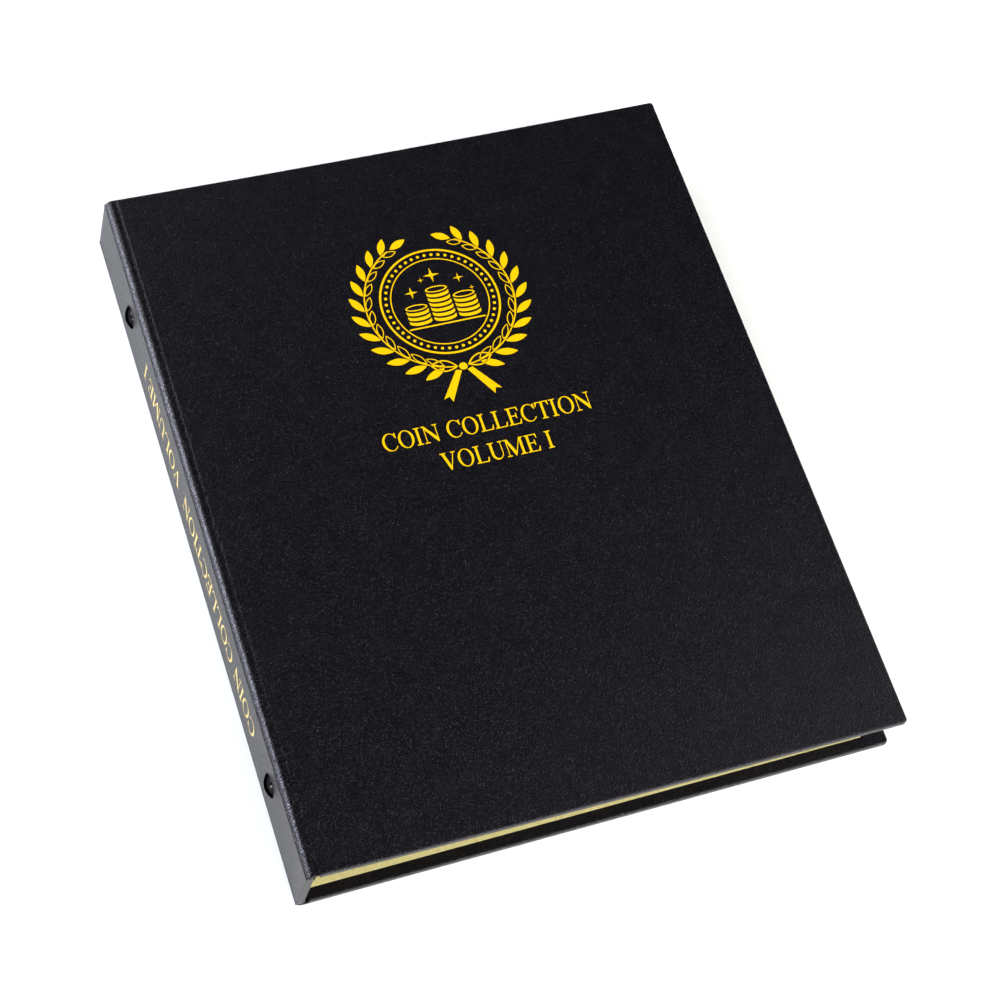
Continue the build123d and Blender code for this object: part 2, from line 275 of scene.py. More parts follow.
class Bend:
    """A bent strip's line in the closed album, in a cover's own numbers: b from the joint axis, w deep."""

    def __init__(self, points, step):
        self.line = smooth_line(points, step)
        self.at = [0.0]
        for p, q in zip(self.line, self.line[1:]):
            self.at.append(self.at[-1] + hypot(q[0] - p[0], q[1] - p[1]))

    def point(self, index, depth):
        """A point of the line, moved inwards by depth."""
        low = self.line[max(index - 1, 0)]
        high = self.line[min(index + 1, len(self.line) - 1)]
        dx, dz = high[0] - low[0], high[1] - low[1]
        size = hypot(dx, dz)
        x, z = self.line[index]
        return x - dz / size * depth, z + dx / size * depth


# the cloth over a joint, in a cover's own numbers: distance from the joint's axis, and depth
SHOULDER = [(-0.1, 0.86), (0.55, 0.38), (1.15, 0.14), (1.7, 0.09), (2.4, 0.12), (3.0, 0.15), (3.6, 0.1),
            (3.85, 0.05), (GAP + SKIN_START, 0.0)]


def ridge_in_cover(close):
    """Where the spine's outer face ends, in the closed cover's own numbers."""
    x = AXIS * sin(close) + SPINE_GAP * cos(close)
    z = SPINE_GAP * sin(close) - AXIS * cos(close)
    return -x, AXIS + z


def joint_skin(name, close, place, flat, material):
    """Leatherette across a joint: round the spine's ridge, over the shoulder and down into the groove."""
    rx, rz = ridge_in_cover(close)
    start = [(rx, rz), (rx + 0.16, rz - 0.02), (rx + 0.3, rz - 0.24)]
    bend = Bend(start + SHOULDER, BEND_STEP)
    section = shell_section(2 * CLOTH, CLOTH, spread(-HALF, HALF, LONG_STEP))
    total = bend.at[-1]

    def put(s, y, w):
        b, depth = bend.point(round(s), w)
        return place(b, y, depth)

    def cloth(s, y, w):
        return flat(bend.at[round(s)] / total, y, w)
    return run_section(name, section, range(len(bend.line)), put, cloth, material)


def joint_fold(name, close, place, flat, material, runs, cover, sheet):
    """A strip pressed into a joint: down the spine's inside, under the cloth and along the cover's edge.

    cover is how far the strip lies under the lining's face, runs are its spans along the height."""
    rx, rz = ridge_in_cover(close)
    wall = rx + LINED
    top = 1.3
    fold = [(wall + 0.06, rz + SPINE_LINING - SPINE_GAP), (wall + 0.04, rz + 1.4), (wall + 0.04, rz + 0.3),
            (wall + 0.2, top + 0.1), ((wall + GAP) / 2, top), (GAP - 0.55, top + 0.15), (GAP - 0.4, 2.2),
            (GAP - 0.34, 2.9), (GAP - 0.2, LINED - 0.1), (GAP + 0.06, LINED - 0.02)]
    bend = Bend(fold, FOLD_STEP)
    last = len(bend.line) - 1

    def put(s, y, w):
        b, depth = bend.point(round(s), w)
        return place(b, y, depth)

    def cloth(s, y, w):
        return flat(bend.at[round(s)] / bend.at[last], y, w)
    bm = bmesh.new()
    for low, high in runs:
        sides = ((low, -cover), (high, -cover), (high, -cover - sheet), (low, -cover - sheet))
        tube(bm, sides, range(last + 1))
    return soft_normals(finish_mesh(name, bm, put, cloth, material))


# ---- procedural materials ----
def new_material(name):
    mat = bpy.data.materials.new(name)
    mat.use_nodes = True
    return mat, mat.node_tree, mat.node_tree.nodes["Principled BSDF"]


def coordinates(tree, kind, stretch=(1, 1, 1), slant=0):
    """Texture coordinates in metres: 'flat' is the cloth's own, anything else the piece's place.

    Features are drawn out by stretch, along axes turned by slant degrees."""
    if kind == "flat":
        source = tree.nodes.new("ShaderNodeAttribute")
        source.attribute_name = "flat"
        socket = source.outputs["Vector"]
    else:
        socket = tree.nodes.new("ShaderNodeTexCoord").outputs["Object"]
    mapping = tree.nodes.new("ShaderNodeMapping")
    mapping.vector_type = "TEXTURE"
    mapping.inputs["Scale"].default_value = stretch
    mapping.inputs["Rotation"].default_value = (0, 0, radians(slant))
    tree.links.new(socket, mapping.inputs["Vector"])
    return mapping.outputs["Vector"]


def noise(tree, where, size, detail=3.0, roughness=0.55):
    """Noise with features of about size millimetres."""
    node = tree.nodes.new("ShaderNodeTexNoise")
    node.inputs["Scale"].default_value = 1 / (size * MM)
    node.inputs["Detail"].default_value = detail
    node.inputs["Roughness"].default_value = roughness
    tree.links.new(where, node.inputs["Vector"])
    return node.outputs["Fac"]


def cells(tree, where, size):
    """Rounded cells about size millimetres across."""
    node = tree.nodes.new("ShaderNodeTexVoronoi")
    node.feature = "SMOOTH_F1"
    node.inputs["Scale"].default_value = 1 / (size * MM)
    tree.links.new(where, node.inputs["Vector"])
    return node.outputs["Distance"]


def ramp(tree, value, stops):
    """Values or colours at given places, blended in between."""
    node = tree.nodes.new("ShaderNodeValToRGB")
    band = node.color_ramp
    while len(band.elements) < len(stops):
        band.elements.new(0.5)
    for element, (place, colour) in zip(band.elements, stops):
        element.position = place
        shade = colour if isinstance(colour, tuple) else (colour,) * 3
        element.color = (*shade, 1.0)
    tree.links.new(value, node.inputs["Fac"])
    return node.outputs["Color"]


def bump(tree, height, depth, strength=1.0, under=None):
    """A bump of depth millimetres from a height between 0 and 1."""
    node = tree.nodes.new("ShaderNodeBump")
    node.inputs["Strength"].default_value = strength
    node.inputs["Distance"].default_value = depth * MM
    tree.links.new(height, node.inputs["Height"])
    if under is not None:
        tree.links.new(under, node.inputs["Normal"])
    return node.outputs["Normal"]


def leatherette(name, specular, low, high):
    """Near-black grained cloth: slanting fine grain, pores, slow waves and a satin face."""
    mat, tree, shader = new_material(name)
    where = coordinates(tree, "flat")
    shades = [(0.3, (0.0016, 0.0015, 0.0024)), (0.7, (0.003, 0.0028, 0.0042))]
    tone = ramp(tree, noise(tree, where, 9.0), shades)
    tree.links.new(tone, shader.inputs["Base Color"])
    gloss = ramp(tree, noise(tree, where, 1.1), [(0.3, low), (0.7, high)])
    tree.links.new(gloss, shader.inputs["Roughness"])
    drawn = coordinates(tree, "flat", (1.9, 1.0, 1.0), -22)
    pebble = bump(tree, noise(tree, drawn, 0.45, 1.0), 0.2, 1.0)
    fine = bump(tree, noise(tree, where, 0.55, 1.0), 0.09, 1.0, pebble)
    tree.links.new(bump(tree, noise(tree, where, 22.0, 1.0), 0.1, 0.4, fine), shader.inputs["Normal"])
    shader.inputs["Specular IOR Level"].default_value = specular
    shader.inputs["Specular Tint"].default_value = (0.95, 0.9, 1.0, 1.0)
    shader.inputs["Sheen Weight"].default_value = 0.03
    shader.inputs["Sheen Roughness"].default_value = 0.3
    shader.inputs["Sheen Tint"].default_value = (0.82, 0.84, 1.0, 1.0)
    return mat


def paper(name, dark, light, fleck, size, kind="object"):
    """Paper or board: mottled tone, flecks and a fibrous surface."""
    mat, tree, shader = new_material(name)
    where = coordinates(tree, kind)
    tone = ramp(tree, noise(tree, where, size, 5.0, 0.65), [(0.3, dark), (0.62, light)])
    spots = ramp(tree, noise(tree, where, size / 9, 2.0), [(0.3, fleck), (0.44, (1.0, 1.0, 1.0))])
    mix = tree.nodes.new("ShaderNodeMix")
    mix.data_type = "RGBA"
    mix.blend_type = "MULTIPLY"
    mix.inputs[0].default_value = 0.8
    tree.links.new(tone, mix.inputs[6])
    tree.links.new(spots, mix.inputs[7])
    tree.links.new(mix.outputs[2], shader.inputs["Base Color"])
    matt = ramp(tree, noise(tree, where, size / 3), [(0.3, 0.62), (0.7, 0.8)])
    tree.links.new(matt, shader.inputs["Roughness"])
    fibres = noise(tree, coordinates(tree, kind, (1.0, 4.0, 1.0)), 0.25, 4.0)
    tree.links.new(bump(tree, fibres, 0.05, 0.5), shader.inputs["Normal"])
    return mat


def metal(name, dark, light, low, high, grain=(1.0, 20.0, 1.0)):
    """Plated steel: cloudy tone, drawn grain along the part and smudges in the gloss."""
    mat, tree, shader = new_material(name)
    where = coordinates(tree, "object")
    tone = ramp(tree, noise(tree, where, 7.0), [(0.3, dark), (0.7, light)])
    tree.links.new(tone, shader.inputs["Base Color"])
    smudge = ramp(tree, noise(tree, where, 3.5, 5.0), [(0.3, low), (0.7, high)])
    tree.links.new(smudge, shader.inputs["Roughness"])
    lines = noise(tree, coordinates(tree, "object", grain), 0.12, 2.0)
    tree.links.new(bump(tree, lines, 0.012, 0.4), shader.inputs["Normal"])
    shader.inputs["Metallic"].default_value = 1.0
    return mat


def enamel():
    """Glossy black dome, made as a metal with a dark tint so that its rim stays black too."""
    mat, tree, shader = new_material("look_rivet_enamel")
    where = coordinates(tree, "object")
    tone = ramp(tree, noise(tree, where, 2.0), [(0.3, (0.014, 0.014, 0.015)), (0.7, (0.02, 0.02, 0.021))])
    tree.links.new(tone, shader.inputs["Base Color"])
    gloss = ramp(tree, noise(tree, where, 0.9, 4.0), [(0.35, 0.1), (0.75, 0.22)])
    tree.links.new(gloss, shader.inputs["Roughness"])
    tree.links.new(bump(tree, noise(tree, where, 0.8), 0.02, 0.4), shader.inputs["Normal"])
    shader.inputs["Metallic"].default_value = 1.0
    shader.inputs["Specular Tint"].default_value = (0.05, 0.05, 0.05, 1.0)
    return mat


def film():
    """Clear vinyl: see-through, with soft ripples in its shine and faint haze."""
    mat, tree, shader = new_material("look_clear_film")
    where = coordinates(tree, "object")
    tone = ramp(tree, noise(tree, where, 20.0), [(0.3, (0.62, 0.65, 0.66)), (0.7, (0.74, 0.77, 0.78))])
    tree.links.new(tone, shader.inputs["Base Color"])
    haze = ramp(tree, noise(tree, where, 12.0, 4.0), [(0.3, 0.05), (0.75, 0.14)])
    tree.links.new(haze, shader.inputs["Roughness"])
    tree.links.new(bump(tree, noise(tree, where, 15.0), 0.35, 0.35), shader.inputs["Normal"])
    shader.inputs["Alpha"].default_value = 0.2
    return mat


def foil(name, dark, light, metallic):
    """Hot-stamped foil taking up the grain of the cloth below it, with tiny bare pits."""
    mat, tree, shader = new_material(name)
    where = coordinates(tree, "flat")
    tone = ramp(tree, noise(tree, where, 0.7, 4.0, 0.7), [(0.26, dark), (0.42, light)])
    tree.links.new(tone, shader.inputs["Base Color"])
    gloss = ramp(tree, noise(tree, where, 1.2), [(0.3, 0.34), (0.7, 0.5)])
    tree.links.new(gloss, shader.inputs["Roughness"])
    tree.links.new(bump(tree, cells(tree, where, 0.75), 0.05, 0.45), shader.inputs["Normal"])
    shader.inputs["Metallic"].default_value = metallic
    shader.inputs["Specular IOR Level"].default_value = 0.12
    return mat


LEATHER = leatherette("look_leatherette", 0.27, 0.26, 0.35)
STRETCHED = leatherette("look_stretched_leatherette", 0.36, 0.2, 0.3)
CREAM = ((0.5, 0.44, 0.18), (0.62, 0.56, 0.26), (0.74, 0.68, 0.52), 1.7)
LINING = paper("look_lining", *CREAM)
JOINT_LINING = paper("look_joint_lining", *CREAM, "flat")
GREYBOARD = paper("look_greyboard", (0.2, 0.185, 0.16), (0.33, 0.31, 0.28), (0.4, 0.36, 0.3), 3.0)
CARD = paper("look_card", (0.41, 0.385, 0.3), (0.47, 0.44, 0.355), (0.8, 0.76, 0.66), 2.2)
NICKEL = metal("look_nickel", (0.62, 0.61, 0.58), (0.8, 0.79, 0.76), 0.16, 0.3)
BLADE = metal("look_blade", (0.36, 0.36, 0.37), (0.52, 0.52, 0.52), 0.26, 0.42)
WIRE = metal("look_ring_wire", (0.66, 0.66, 0.64), (0.84, 0.84, 0.82), 0.1, 0.2, (5.0, 1.0, 5.0))
LEVER = metal("look_lever", (0.6, 0.6, 0.58), (0.78, 0.78, 0.75), 0.14, 0.28, (20.0, 1.0, 1.0))
PIN = metal("look_lever_pin", (0.4, 0.4, 0.4), (0.6, 0.6, 0.59), 0.2, 0.34, (20.0, 1.0, 1.0))
POST = metal("look_rivet_post", (0.42, 0.42, 0.41), (0.62, 0.61, 0.6), 0.24, 0.4, (1.0, 1.0, 1.0))
ENAMEL = enamel()
FILM = film()
GOLD = foil("look_gold_foil", (0.5, 0.25, 0.001), (0.76, 0.46, 0.001), 0.12)
PALE_GOLD = foil("look_spine_foil", (0.34, 0.22, 0.05), (0.66, 0.5, 0.18), 0.35)

# ---- carried-over CAD nodes take their finished materials ----
LOOKS = {"greyboard": GREYBOARD, "lining_paper": LINING, "nickel_plate": NICKEL, "blade_steel": BLADE,
         "ring_wire": WIRE, "lever_steel": LEVER, "lever_pin_steel": PIN, "rivet_black": ENAMEL,
         "rivet_steel": POST, "clear_film": FILM, "interleaf_card": CARD, "leatherette": LEATHER}
for node in NODES.values():
    for material_slot in node.material_slots:
        material_slot.material = LOOKS[material_slot.material.name.split(".")[0]]

# ---- skins ----
front_skin = cover_skin("front_cover_skin", front_place, lambda a, y, w: (-PITCH - GAP - a, y, w), LEATHER)
back_skin = cover_skin("back_cover_skin", back_place, lambda a, y, w: (GAP + a, y, w), LEATHER)
spine_section = shell_section(COVER, EDGE, spread(-HALF, HALF, LONG_STEP))
spine_stations = spread(SPINE_GAP, PITCH - SPINE_GAP, SPINE_STEP)
spine_skin = run_section("spine_skin", spine_section, spine_stations, spine_place,
                         lambda s, y, w: (-s, y, w), LEATHER)
for piece, body, node in ((front_skin, "front_cover", "front_cover_cloth"),
                          (back_skin, "back_cover", "back_cover_cloth"),
                          (spine_skin, "spine", "spine_cloth")):
    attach(piece, body)
    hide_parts(node)

JOINT_RUN = SPINE_GAP + GAP + SKIN_START


def front_joint_place(b, y, w):
    return on_front(-PITCH - b, y, w)


def back_joint_place(b, y, w):
    return on_back(b, y, w)


front_joint = joint_skin("front_joint_skin", FRONT_CLOSE, front_joint_place,
                         lambda t, y, w: (-PITCH + SPINE_GAP - t * JOINT_RUN, y, w), STRETCHED)
back_joint = joint_skin("back_joint_skin", SPINE_CLOSE, back_joint_place,
                        lambda t, y, w: (-SPINE_GAP + t * JOINT_RUN, y, w), STRETCHED)
PAPER_SHEET = 0.15
TUCK_DEPTH = 0.17          # the turned-in cloth lies this far under the lining's face
TUCK_SHEET = 0.16
paper_runs = [(-HALF + LINING_END, HALF - LINING_END)]
tuck_runs = [(-HALF + 0.05, -HALF + TURN_IN), (HALF - TURN_IN, HALF - 0.05)]


def front_flat(t, y, w):
    return -PITCH + SPINE_LINING - t * 8, y, w


def back_flat(t, y, w):
    return -SPINE_LINING + t * 8, y, w


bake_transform(front_joint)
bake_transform(back_joint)
joined = [(front_joint, "leatherette"), (back_joint, "leatherette")]
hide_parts("front_joint_cloth")
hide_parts("back_joint_cloth")
for side, close, place, flat in (("front", FRONT_CLOSE, front_joint_place, front_flat),
                                 ("back", SPINE_CLOSE, back_joint_place, back_flat)):
    lining = joint_fold(side + "_joint_paper", close, place, flat, JOINT_LINING, paper_runs,
                        0.0, PAPER_SHEET)
    tuck = joint_fold(side + "_joint_turn_in", close, place, flat, LEATHER, tuck_runs,
                      TUCK_DEPTH, TUCK_SHEET)
    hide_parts(side + "_joint_lining")
    near, far = place(2.6, 0, 1.4), place(3.6, 0, 1.4)
    for piece in (lining, tuck):
        if side == "front":
            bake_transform(piece)
        else:
            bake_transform(piece)
    joined += [(lining, "lining_paper"), (tuck, "leatherette")]

# ---- foil ----
FOIL_PROUD = -0.03         # foil's face, just above the cloth
FOIL_FOOT = 0.04           # its underside, just below the cloth's surface


def arc(cx, cy, rx, ry, start, end, count):
    """Points along an ellipse, in degrees."""
    turns = [radians(start + (end - start) * i / count) for i in range(count + 1)]
    return [(cx + rx * cos(t), cy + ry * sin(t)) for t in turns]


def strip_faces(one, other):
    """Quads between two lines of equally many points."""
    return [[one[i], one[i + 1], other[i + 1], other[i]] for i in range(len(one) - 1)]


def ring_faces(cx, cy, outer, inner, start=0, end=360, count=64):
    """A ring or part of one, between two radii."""
    return strip_faces(arc(cx, cy, outer, outer, start, end, count),
                       arc(cx, cy, inner, inner, start, end, count))


def foil_mesh(name, shapes, place, flat, material):
    """Thin foil from plane shapes, each a list of faces that join up."""
    bm = bmesh.new()
    for faces in shapes:
        part = bmesh.new()
        for points in faces:
            part.faces.new([part.verts.new((x, y, FOIL_FOOT)) for x, y in points])
        bmesh.ops.remove_doubles(part, verts=part.verts, dist=SAME_POINT)
        top = bmesh.ops.extrude_face_region(part, geom=part.faces[:], use_keep_orig=True)["geom"]
        for v in top:
            if isinstance(v, bmesh.types.BMVert):
                v.co.z = FOIL_PROUD
        bmesh.ops.triangulate(part, faces=[f for f in part.faces if len(f.verts) > 4])
        mesh = bpy.data.meshes.new("part")
        part.to_mesh(mesh)
        part.free()
        bm.from_mesh(mesh)
        bpy.data.meshes.remove(mesh)
    return finish_mesh(name, bm, place, flat, material, smooth=False)


# ---- serif capitals, cap height 1 ----
STEM = 0.155
THIN = 0.055
FOOT = 0.045               # serif thickness
REACH = 0.12               # serif overhang
BRACKET = FOOT + 0.03


def glyph_i():
    w = 2 * REACH + STEM
    low = [(0, 0), (w, 0), (w, FOOT), (REACH + STEM, BRACKET)]
    high = [(REACH + STEM, 1 - BRACKET), (w, 1 - FOOT), (w, 1), (0, 1), (0, 1 - FOOT), (REACH, 1 - BRACKET)]
    return w + 0.1, [[low + high + [(REACH, BRACKET), (0, FOOT)]]]


def left_side():
    """The top, left and bottom serifs that E and L share, from the top right of the stem round."""
    return [(0, 1), (0, 1 - FOOT), (REACH, 1 - BRACKET), (REACH, BRACKET), (0, FOOT)]


def glyph_l():
    stem = REACH + STEM
    low = [(0, 0), (0.8, 0), (0.86, 0.28), (0.82, 0.28), (0.7, THIN), (stem, THIN)]
    return 0.92, [[low + [(stem, 1 - BRACKET), (stem + REACH, 1 - FOOT), (stem + REACH, 1)] + left_side()]]


def glyph_e():
    stem = REACH + STEM
    low = [(0, 0), (0.8, 0), (0.86, 0.27), (0.82, 0.27), (0.7, THIN), (stem, THIN), (stem, 0.48)]
    arm = [(0.54, 0.48), (0.59, 0.35), (0.63, 0.35), (0.63, 0.67), (0.59, 0.67), (0.54, 0.54), (stem, 0.54)]
    top = [(stem, 1 - THIN), (0.67, 1 - THIN), (0.76, 0.76), (0.8, 0.76), (0.78, 1)]
    return 0.92, [[low + arm + top + left_side()]]


def glyph_t():
    mid = 0.44
    half = STEM / 2
    right = [(mid + 0.2, 0), (mid + 0.2, FOOT), (mid + half, BRACKET), (mid + half, 1 - THIN),
             (0.74, 1 - THIN), (0.84, 0.73), (0.88, 0.73), (0.87, 1)]
    left = [(2 * mid - x, y) for x, y in reversed(right)]
    return 0.95, [[right + left]]


def glyph_n():
    low = [(0, 0), (0.33, 0), (0.33, FOOT), (0.13 + THIN, BRACKET), (0.13 + THIN, 0.8), (0.86, 0), (0.93, 0)]
    right = [(0.93, 1 - BRACKET), (1.04, 1 - FOOT), (1.04, 1), (0.72, 1), (0.72, 1 - FOOT),
             (0.93 - THIN, 1 - BRACKET), (0.93 - THIN, 0.27)]
    left = [(0.2, 1), (0, 1), (0, 1 - FOOT), (0.13, 1 - BRACKET), (0.13, BRACKET), (0, FOOT)]
    return 1.12, [[low + right + left]]


def glyph_m():
    low = [(0, 0), (0.32, 0), (0.32, FOOT), (0.19, BRACKET), (0.19, 0.8), (0.56, 0), (0.6, 0), (1.01, 0.83)]
    right = [(1.01, BRACKET), (0.88, FOOT), (0.88, 0), (1.28, 0), (1.28, FOOT), (1.165, BRACKET),
             (1.165, 1 - BRACKET), (1.28, 1 - FOOT), (1.28, 1), (1.03, 1), (0.66, 0.24)]
    left = [(0.27, 1), (0, 1), (0, 1 - FOOT), (0.135, 1 - BRACKET), (0.135, BRACKET), (0, FOOT)]
    return 1.36, [[low + right + left]]


def glyph_v():
    right = [(0.43, -0.01), (0.5, -0.01), (0.86, 1 - BRACKET), (0.98, 1 - FOOT), (0.98, 1), (0.68, 1),
             (0.68, 1 - FOOT), (0.8, 1 - BRACKET), (0.53, 0.22)]
    left = [(0.28, 1 - BRACKET), (0.38, 1 - FOOT), (0.38, 1), (0, 1), (0, 1 - FOOT), (0.1, 1 - BRACKET)]
    return 1.02, [[right + left]]


def glyph_u():
    outer = [(0, 1), (0, 1 - FOOT), (0.13, 1 - BRACKET)] + arc(0.5075, 0.36, 0.3775, 0.375, 180, 360, 20)
    right = [(0.885, 1 - BRACKET), (1.0, 1 - FOOT), (1.0, 1), (0.7, 1), (0.7, 1 - FOOT), (0.83, 1 - BRACKET)]
    inner = arc(0.56, 0.36, 0.27, 0.3, 360, 180, 20) + [(0.29, 1 - BRACKET), (0.42, 1 - FOOT), (0.42, 1)]
    return 1.06, [[outer + right + inner]]


def glyph_o():
    outer = arc(0.52, 0.5, 0.5, 0.515, 0, 360, 40)
    inner = arc(0.52, 0.5, 0.345, 0.465, 0, 360, 40)
    return 1.1, [strip_faces(outer, inner)]


def glyph_c():
    outer = arc(0.52, 0.5, 0.5, 0.515, 52, 316, 30)
    inner = arc(0.555, 0.5, 0.38, 0.465, 320, 50, 30)
    tick = [(0.905, 0.66), (0.94, 0.66), (0.94, 0.99), (0.9, 0.99)]
    return 1.02, [[outer + [(0.93, 0.2), (0.91, 0.235)] + inner + tick]]


GLYPHS = {"C": glyph_c, "O": glyph_o, "I": glyph_i, "N": glyph_n, "L": glyph_l, "E": glyph_e, "T": glyph_t,
          "V": glyph_v, "U": glyph_u, "M": glyph_m, " ": lambda: (0.42, [])}


def text_shapes(words, middle, base, cap, narrow):
    """The words as shapes, centred on middle, standing on base."""
    glyphs = [GLYPHS[letter]() for letter in words]
    width = sum(advance for advance, _ in glyphs) * cap * narrow
    x = middle - width / 2
    shapes = []
    for advance, parts in glyphs:
        for faces in parts:
            shapes.append([[(x + px * cap * narrow, base + py * cap) for px, py in face] for face in faces])
        x += advance * cap * narrow
    return shapes


# ---- the medallion: a beaded coin with stacks of coins, in a laurel wreath tied with a bow ----
def leaf_shape(x, y, angle, length, width, line=None):
    """A pointed leaf from its base, filled, or only outlined where line is given."""
    def edge(half, trim, side):
        points = []
        for i in range(11):
            t = i / 10
            along = trim + (length - 2 * trim) * t
            out = side * half * sin(pi * t) ** 0.85
            points.append((x + along * cos(angle) - out * sin(angle),
                           y + along * sin(angle) + out * cos(angle)))
        return points
    outer = edge(width / 2, 0.0, 1) + edge(width / 2, 0.0, -1)[-2:0:-1]
    if line is None:
        return [outer]
    inner = edge(width / 2 - line, 1.6 * line, 1) + edge(width / 2 - line, 1.6 * line, -1)[-2:0:-1]
    return strip_faces(outer + outer[:1], inner + inner[:1])


BRANCH_RADIUS = 28.3
BRANCH_LINE = 0.25         # half the stem's width
BRANCH_START = -76         # the first leaf's angle, in degrees
BRANCH_STEP = 13.2
BRANCH_LEAVES = 11
BRANCH_TIP = 65            # angle of the leaf at the branch's end
LEAF = 9.0                 # length of the first leaf
LEAF_SHRINK = 0.16         # each leaf is shorter by this


def branch(cx, cy, side):
    """One laurel branch from the bow up round the coin: solid leaves outside, outlined ones inside."""
    radius = BRANCH_RADIUS
    shapes = []

    def turned(points):
        return [(cx + side * (px - cx), py) for px, py in points]
    stem = ring_faces(cx, cy, radius + BRANCH_LINE, radius - BRANCH_LINE, -84, 62, 40)
    shapes.append([turned(f) for f in stem])
    for i in range(BRANCH_LEAVES):
        at = radians(BRANCH_START + BRANCH_STEP * i)
        x = cx + radius * cos(at)
        y = cy + radius * sin(at)
        size = LEAF - LEAF_SHRINK * i
        along = at + pi / 2
        outer = leaf_shape(x + 0.5 * cos(at), y + 0.5 * sin(at), along - radians(36), size, 2.9)
        inner = leaf_shape(x - 0.5 * cos(at), y - 0.5 * sin(at), along + radians(21), size - 1.6, 2.5, 0.36)
        shapes += [[turned(f) for f in outer], [turned(f) for f in inner]]
    at = radians(BRANCH_TIP)
    tip = leaf_shape(cx + radius * cos(at), cy + radius * sin(at), at + pi / 2, 7.5, 3.0)
    shapes.append([turned(f) for f in tip])
    return shapes


def coin_stack(x, base, count):
    """Coins seen from the side and a little above: solid edges, an open top."""
    rx, ry, thick, gap = 4.3, 1.35, 2.1, 0.85
    shapes = []
    for i in range(count):
        low = base + i * thick
        shapes.append(strip_faces(arc(x, low, rx, ry, 180, 360, 20),
                                  arc(x, low + thick - gap, rx, ry, 180, 360, 20)))
    top = base + count * thick
    shapes.append(strip_faces(arc(x, top, rx, ry, 0, 360, 32), arc(x, top, rx - 0.7, ry - 0.45, 0, 360, 32)))
    return shapes


def bow(cx, cy):
    """Two loops, two tails with notched ends and the knot between them."""
    shapes = []
    tail = [(1.1, -1.6), (3.2, -0.9), (11.2, -11.9), (8.9, -11.2), (8.1, -13.6)]
    for side in (-1, 1):
        loop = leaf_shape(1.9, 0.3, radians(14), 10.5, 5.0, 0.55)
        shapes.append([[(cx + side * x, cy + y) for x, y in face] for face in loop])
        shapes.append([[(cx + side * x, cy + y) for x, y in tail]])
    shapes.append([arc(cx, cy, 1.6, 1.5, 0, 360, 20)[:-1]])
    return shapes


def sparkle(x, y, size):
    """A small four-pointed glint."""
    points = []
    for i in range(8):
        reach = size if i % 2 == 0 else size * 0.24
        points.append((x + reach * cos(i * pi / 4), y + reach * sin(i * pi / 4)))
    return [points]


RIM = (22.8, 22.0)         # radii of the coin's outer line
INNER_RIM = (18.7, 18.25)
BEADS = 48
BEAD_CIRCLE = 20.35
BEAD = 0.62                # radius
STACKS = ((-9.6, 3), (0.0, 6), (9.6, 4))             # place and number of coins
STACK_BASE = -7.2
BOW_DROP = 28.6            # the knot under the coin's middle
SPARKLES = ((-9.6, 5.6, 2.6), (9.6, 8.4, 2.1), (0.0, 11.6, 3.2), (-4.6, 10.2, 1.2), (13.4, 3.2, 1.1))


def medallion(cx, cy):
    """Rims, beads, coins on a shelf, sparkles, the two branches and the bow."""
    shapes = [ring_faces(cx, cy, *RIM, count=96), ring_faces(cx, cy, *INNER_RIM, count=80)]
    for i in range(BEADS):
        at = 2 * pi * i / BEADS
        x = cx + BEAD_CIRCLE * cos(at)
        y = cy + BEAD_CIRCLE * sin(at)
        shapes.append([arc(x, y, BEAD, BEAD, 0, 360, 10)[:-1]])
    for x, count in STACKS:
        shapes += coin_stack(cx + x, cy + STACK_BASE, count)
    shelf = [(cx - 15.0, cy - 10.0), (cx + 15.0, cy - 10.0), (cx + 14.6, cy - 9.4), (cx - 14.6, cy - 9.4)]
    shapes.append([shelf])
    for x, y, size in SPARKLES:
        shapes.append(sparkle(cx + x, cy + y, size))
    for side in (-1, 1):
        shapes += branch(cx, cy, side)
    return shapes + bow(cx, cy - BOW_DROP)


MEDALLION = (108.5, 69.2)  # distance from the joint side, and height on the cover
TITLE_MID = 110.2
TITLE = (("COIN COLLECTION", 10.7, 7.4), ("VOLUME I", -1.9, 7.4))   # words, baseline, cap height
NARROW = 0.82


def cover_flat(a, y, w):
    return -PITCH - GAP - a, y, w


GROWN = 1.035              # the medallion's drawing is enlarged by this


def medallion_place(x, y, w):
    return front_place(MEDALLION[0] + x * GROWN, MEDALLION[1] + y * GROWN, w)


def medallion_flat(x, y, w):
    return cover_flat(MEDALLION[0] + x * GROWN, MEDALLION[1] + y * GROWN, w)


emblem = foil_mesh("medallion_foil", medallion(0.0, 0.0), medallion_place, medallion_flat, GOLD)
lines = [shape for words, base, cap in TITLE for shape in text_shapes(words, TITLE_MID, base, cap, NARROW)]
title = foil_mesh("title_foil", lines, front_place, cover_flat, GOLD)

SPINE_TEXT_MID = -3.0
SPINE_CAP = 8.2
SPINE_NARROW = 0.86
SPINE_BASE = 17.8          # baseline's distance from the back joint's axis; the letters stand towards it


def spine_text_place(x, y, w):
    """x runs along the spine from tail to head, y from the letters' feet to their tops."""
    return spine_place(SPINE_BASE - y, x, w)


spine_lines = text_shapes("COIN COLLECTION  VOLUME I", SPINE_TEXT_MID, 0.0, SPINE_CAP, SPINE_NARROW)
spine_title = foil_mesh("spine_title_foil", spine_lines, spine_text_place,
                        lambda x, y, w: (-SPINE_BASE + y, x, w), PALE_GOLD)
for piece, body in ((emblem, "front_cover"), (title, "front_cover"), (spine_title, "spine")):
    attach(piece, body)

# ---- floor, lights and camera ----
FLOOR = 6.0                # metres, half the floor's side


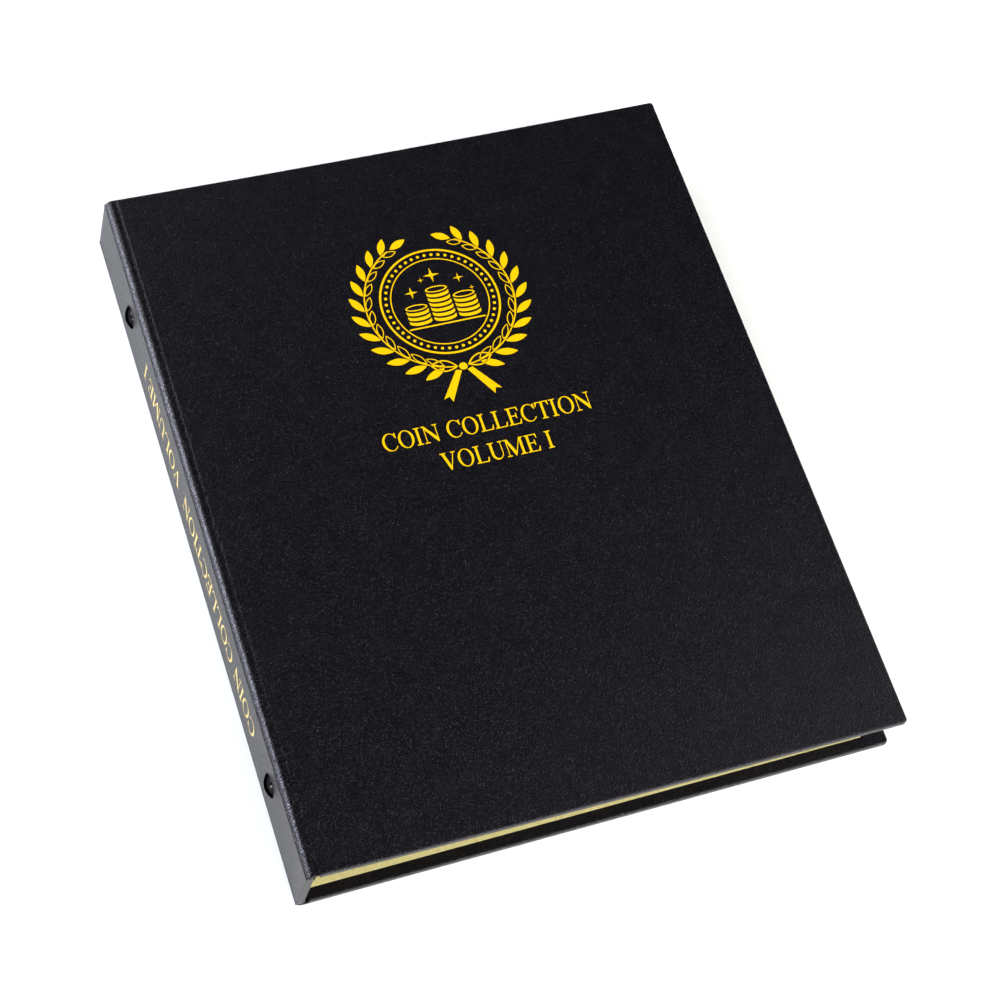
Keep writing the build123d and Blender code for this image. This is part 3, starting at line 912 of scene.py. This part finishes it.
def floor():
    mat, tree, shader = new_material("look_floor")
    where = coordinates(tree, "object")
    tone = ramp(tree, noise(tree, where, 300.0), [(0.3, 0.9), (0.7, 0.93)])
    tree.links.new(tone, shader.inputs["Base Color"])
    shader.inputs["Roughness"].default_value = 0.9
    shader.inputs["Specular IOR Level"].default_value = 0.1
    bm = bmesh.new()
    bmesh.ops.create_grid(bm, x_segments=2, y_segments=2, size=FLOOR)
    mesh = bpy.data.meshes.new("floor")
    bm.to_mesh(mesh)
    bm.free()
    mesh.materials.append(mat)
    obj = bpy.data.objects.new("floor", mesh)
    bpy.context.scene.collection.objects.link(obj)


def softbox(name, azimuth, elevation, distance, width, height, power, tint):
    """A large rectangular light that faces the album. Azimuth 0 is +X, 90 is +Y."""
    light = bpy.data.lights.new(name, "AREA")
    light.shape = "RECTANGLE"
    light.size = width
    light.size_y = height
    light.energy = power
    light.color = tint
    obj = bpy.data.objects.new(name, light)
    a, e = radians(azimuth), radians(elevation)
    obj.location = Vector((cos(a) * cos(e), sin(a) * cos(e), sin(e))) * distance
    obj.rotation_euler = (-obj.location).to_track_quat("-Z", "Y").to_euler()
    bpy.context.scene.collection.objects.link(obj)


SKY = [(0.0, 0.9), (0.2, 0.75), (0.42, 0.1), (0.6, 0.02)]       # bright at the horizon, dark above
BOXES = (                  # azimuth, elevation, distance, width, height, power and tint
    ("left_box", 154, 22, 1.5, 0.7, 0.45, 28, (0.8, 0.88, 1.0)),
    ("right_box", -36, 41, 1.5, 1.6, 0.7, 27, (1.0, 0.99, 0.97)),
    ("front_box", -95, 36, 1.6, 1.6, 0.6, 18, (1.0, 0.99, 0.97)),
    ("back_box", 125, 33, 1.7, 1.6, 0.6, 18, (1.0, 1.0, 1.0)),
    ("glint_box", 190, 5, 1.5, 0.12, 0.12, 4.5, (1.0, 1.0, 1.0)))


def studio():
    world = bpy.data.worlds.new("studio")
    world.use_nodes = True
    tree = world.node_tree
    direction = tree.nodes.new("ShaderNodeSeparateXYZ")
    tree.links.new(tree.nodes.new("ShaderNodeTexCoord").outputs["Generated"], direction.inputs["Vector"])
    sky = ramp(tree, direction.outputs["Z"], SKY)
    tree.links.new(sky, tree.nodes["Background"].inputs["Color"])
    bpy.context.scene.world = world
    for box in BOXES:
        softbox(*box)


CAMERA_PLACE = (-221.905, -384.87, 841.79)
CAMERA_TURN = (26.862, -6.655, -18.019)    # degrees
CAMERA_LENS = 89.855
CAMERA_SENSOR = 36.0


def camera():
    data = bpy.data.cameras.new("camera")
    data.lens = CAMERA_LENS
    data.sensor_width = CAMERA_SENSOR
    data.clip_start = 0.01
    obj = bpy.data.objects.new("camera", data)
    obj.location = Vector(CAMERA_PLACE) * MM
    obj.rotation_euler = [radians(turn) for turn in CAMERA_TURN]
    bpy.context.scene.collection.objects.link(obj)
    bpy.context.scene.camera = obj


floor()
studio()
camera()
bpy.context.scene.view_settings.view_transform = "Standard"
bpy.context.scene.view_settings.look = "None"
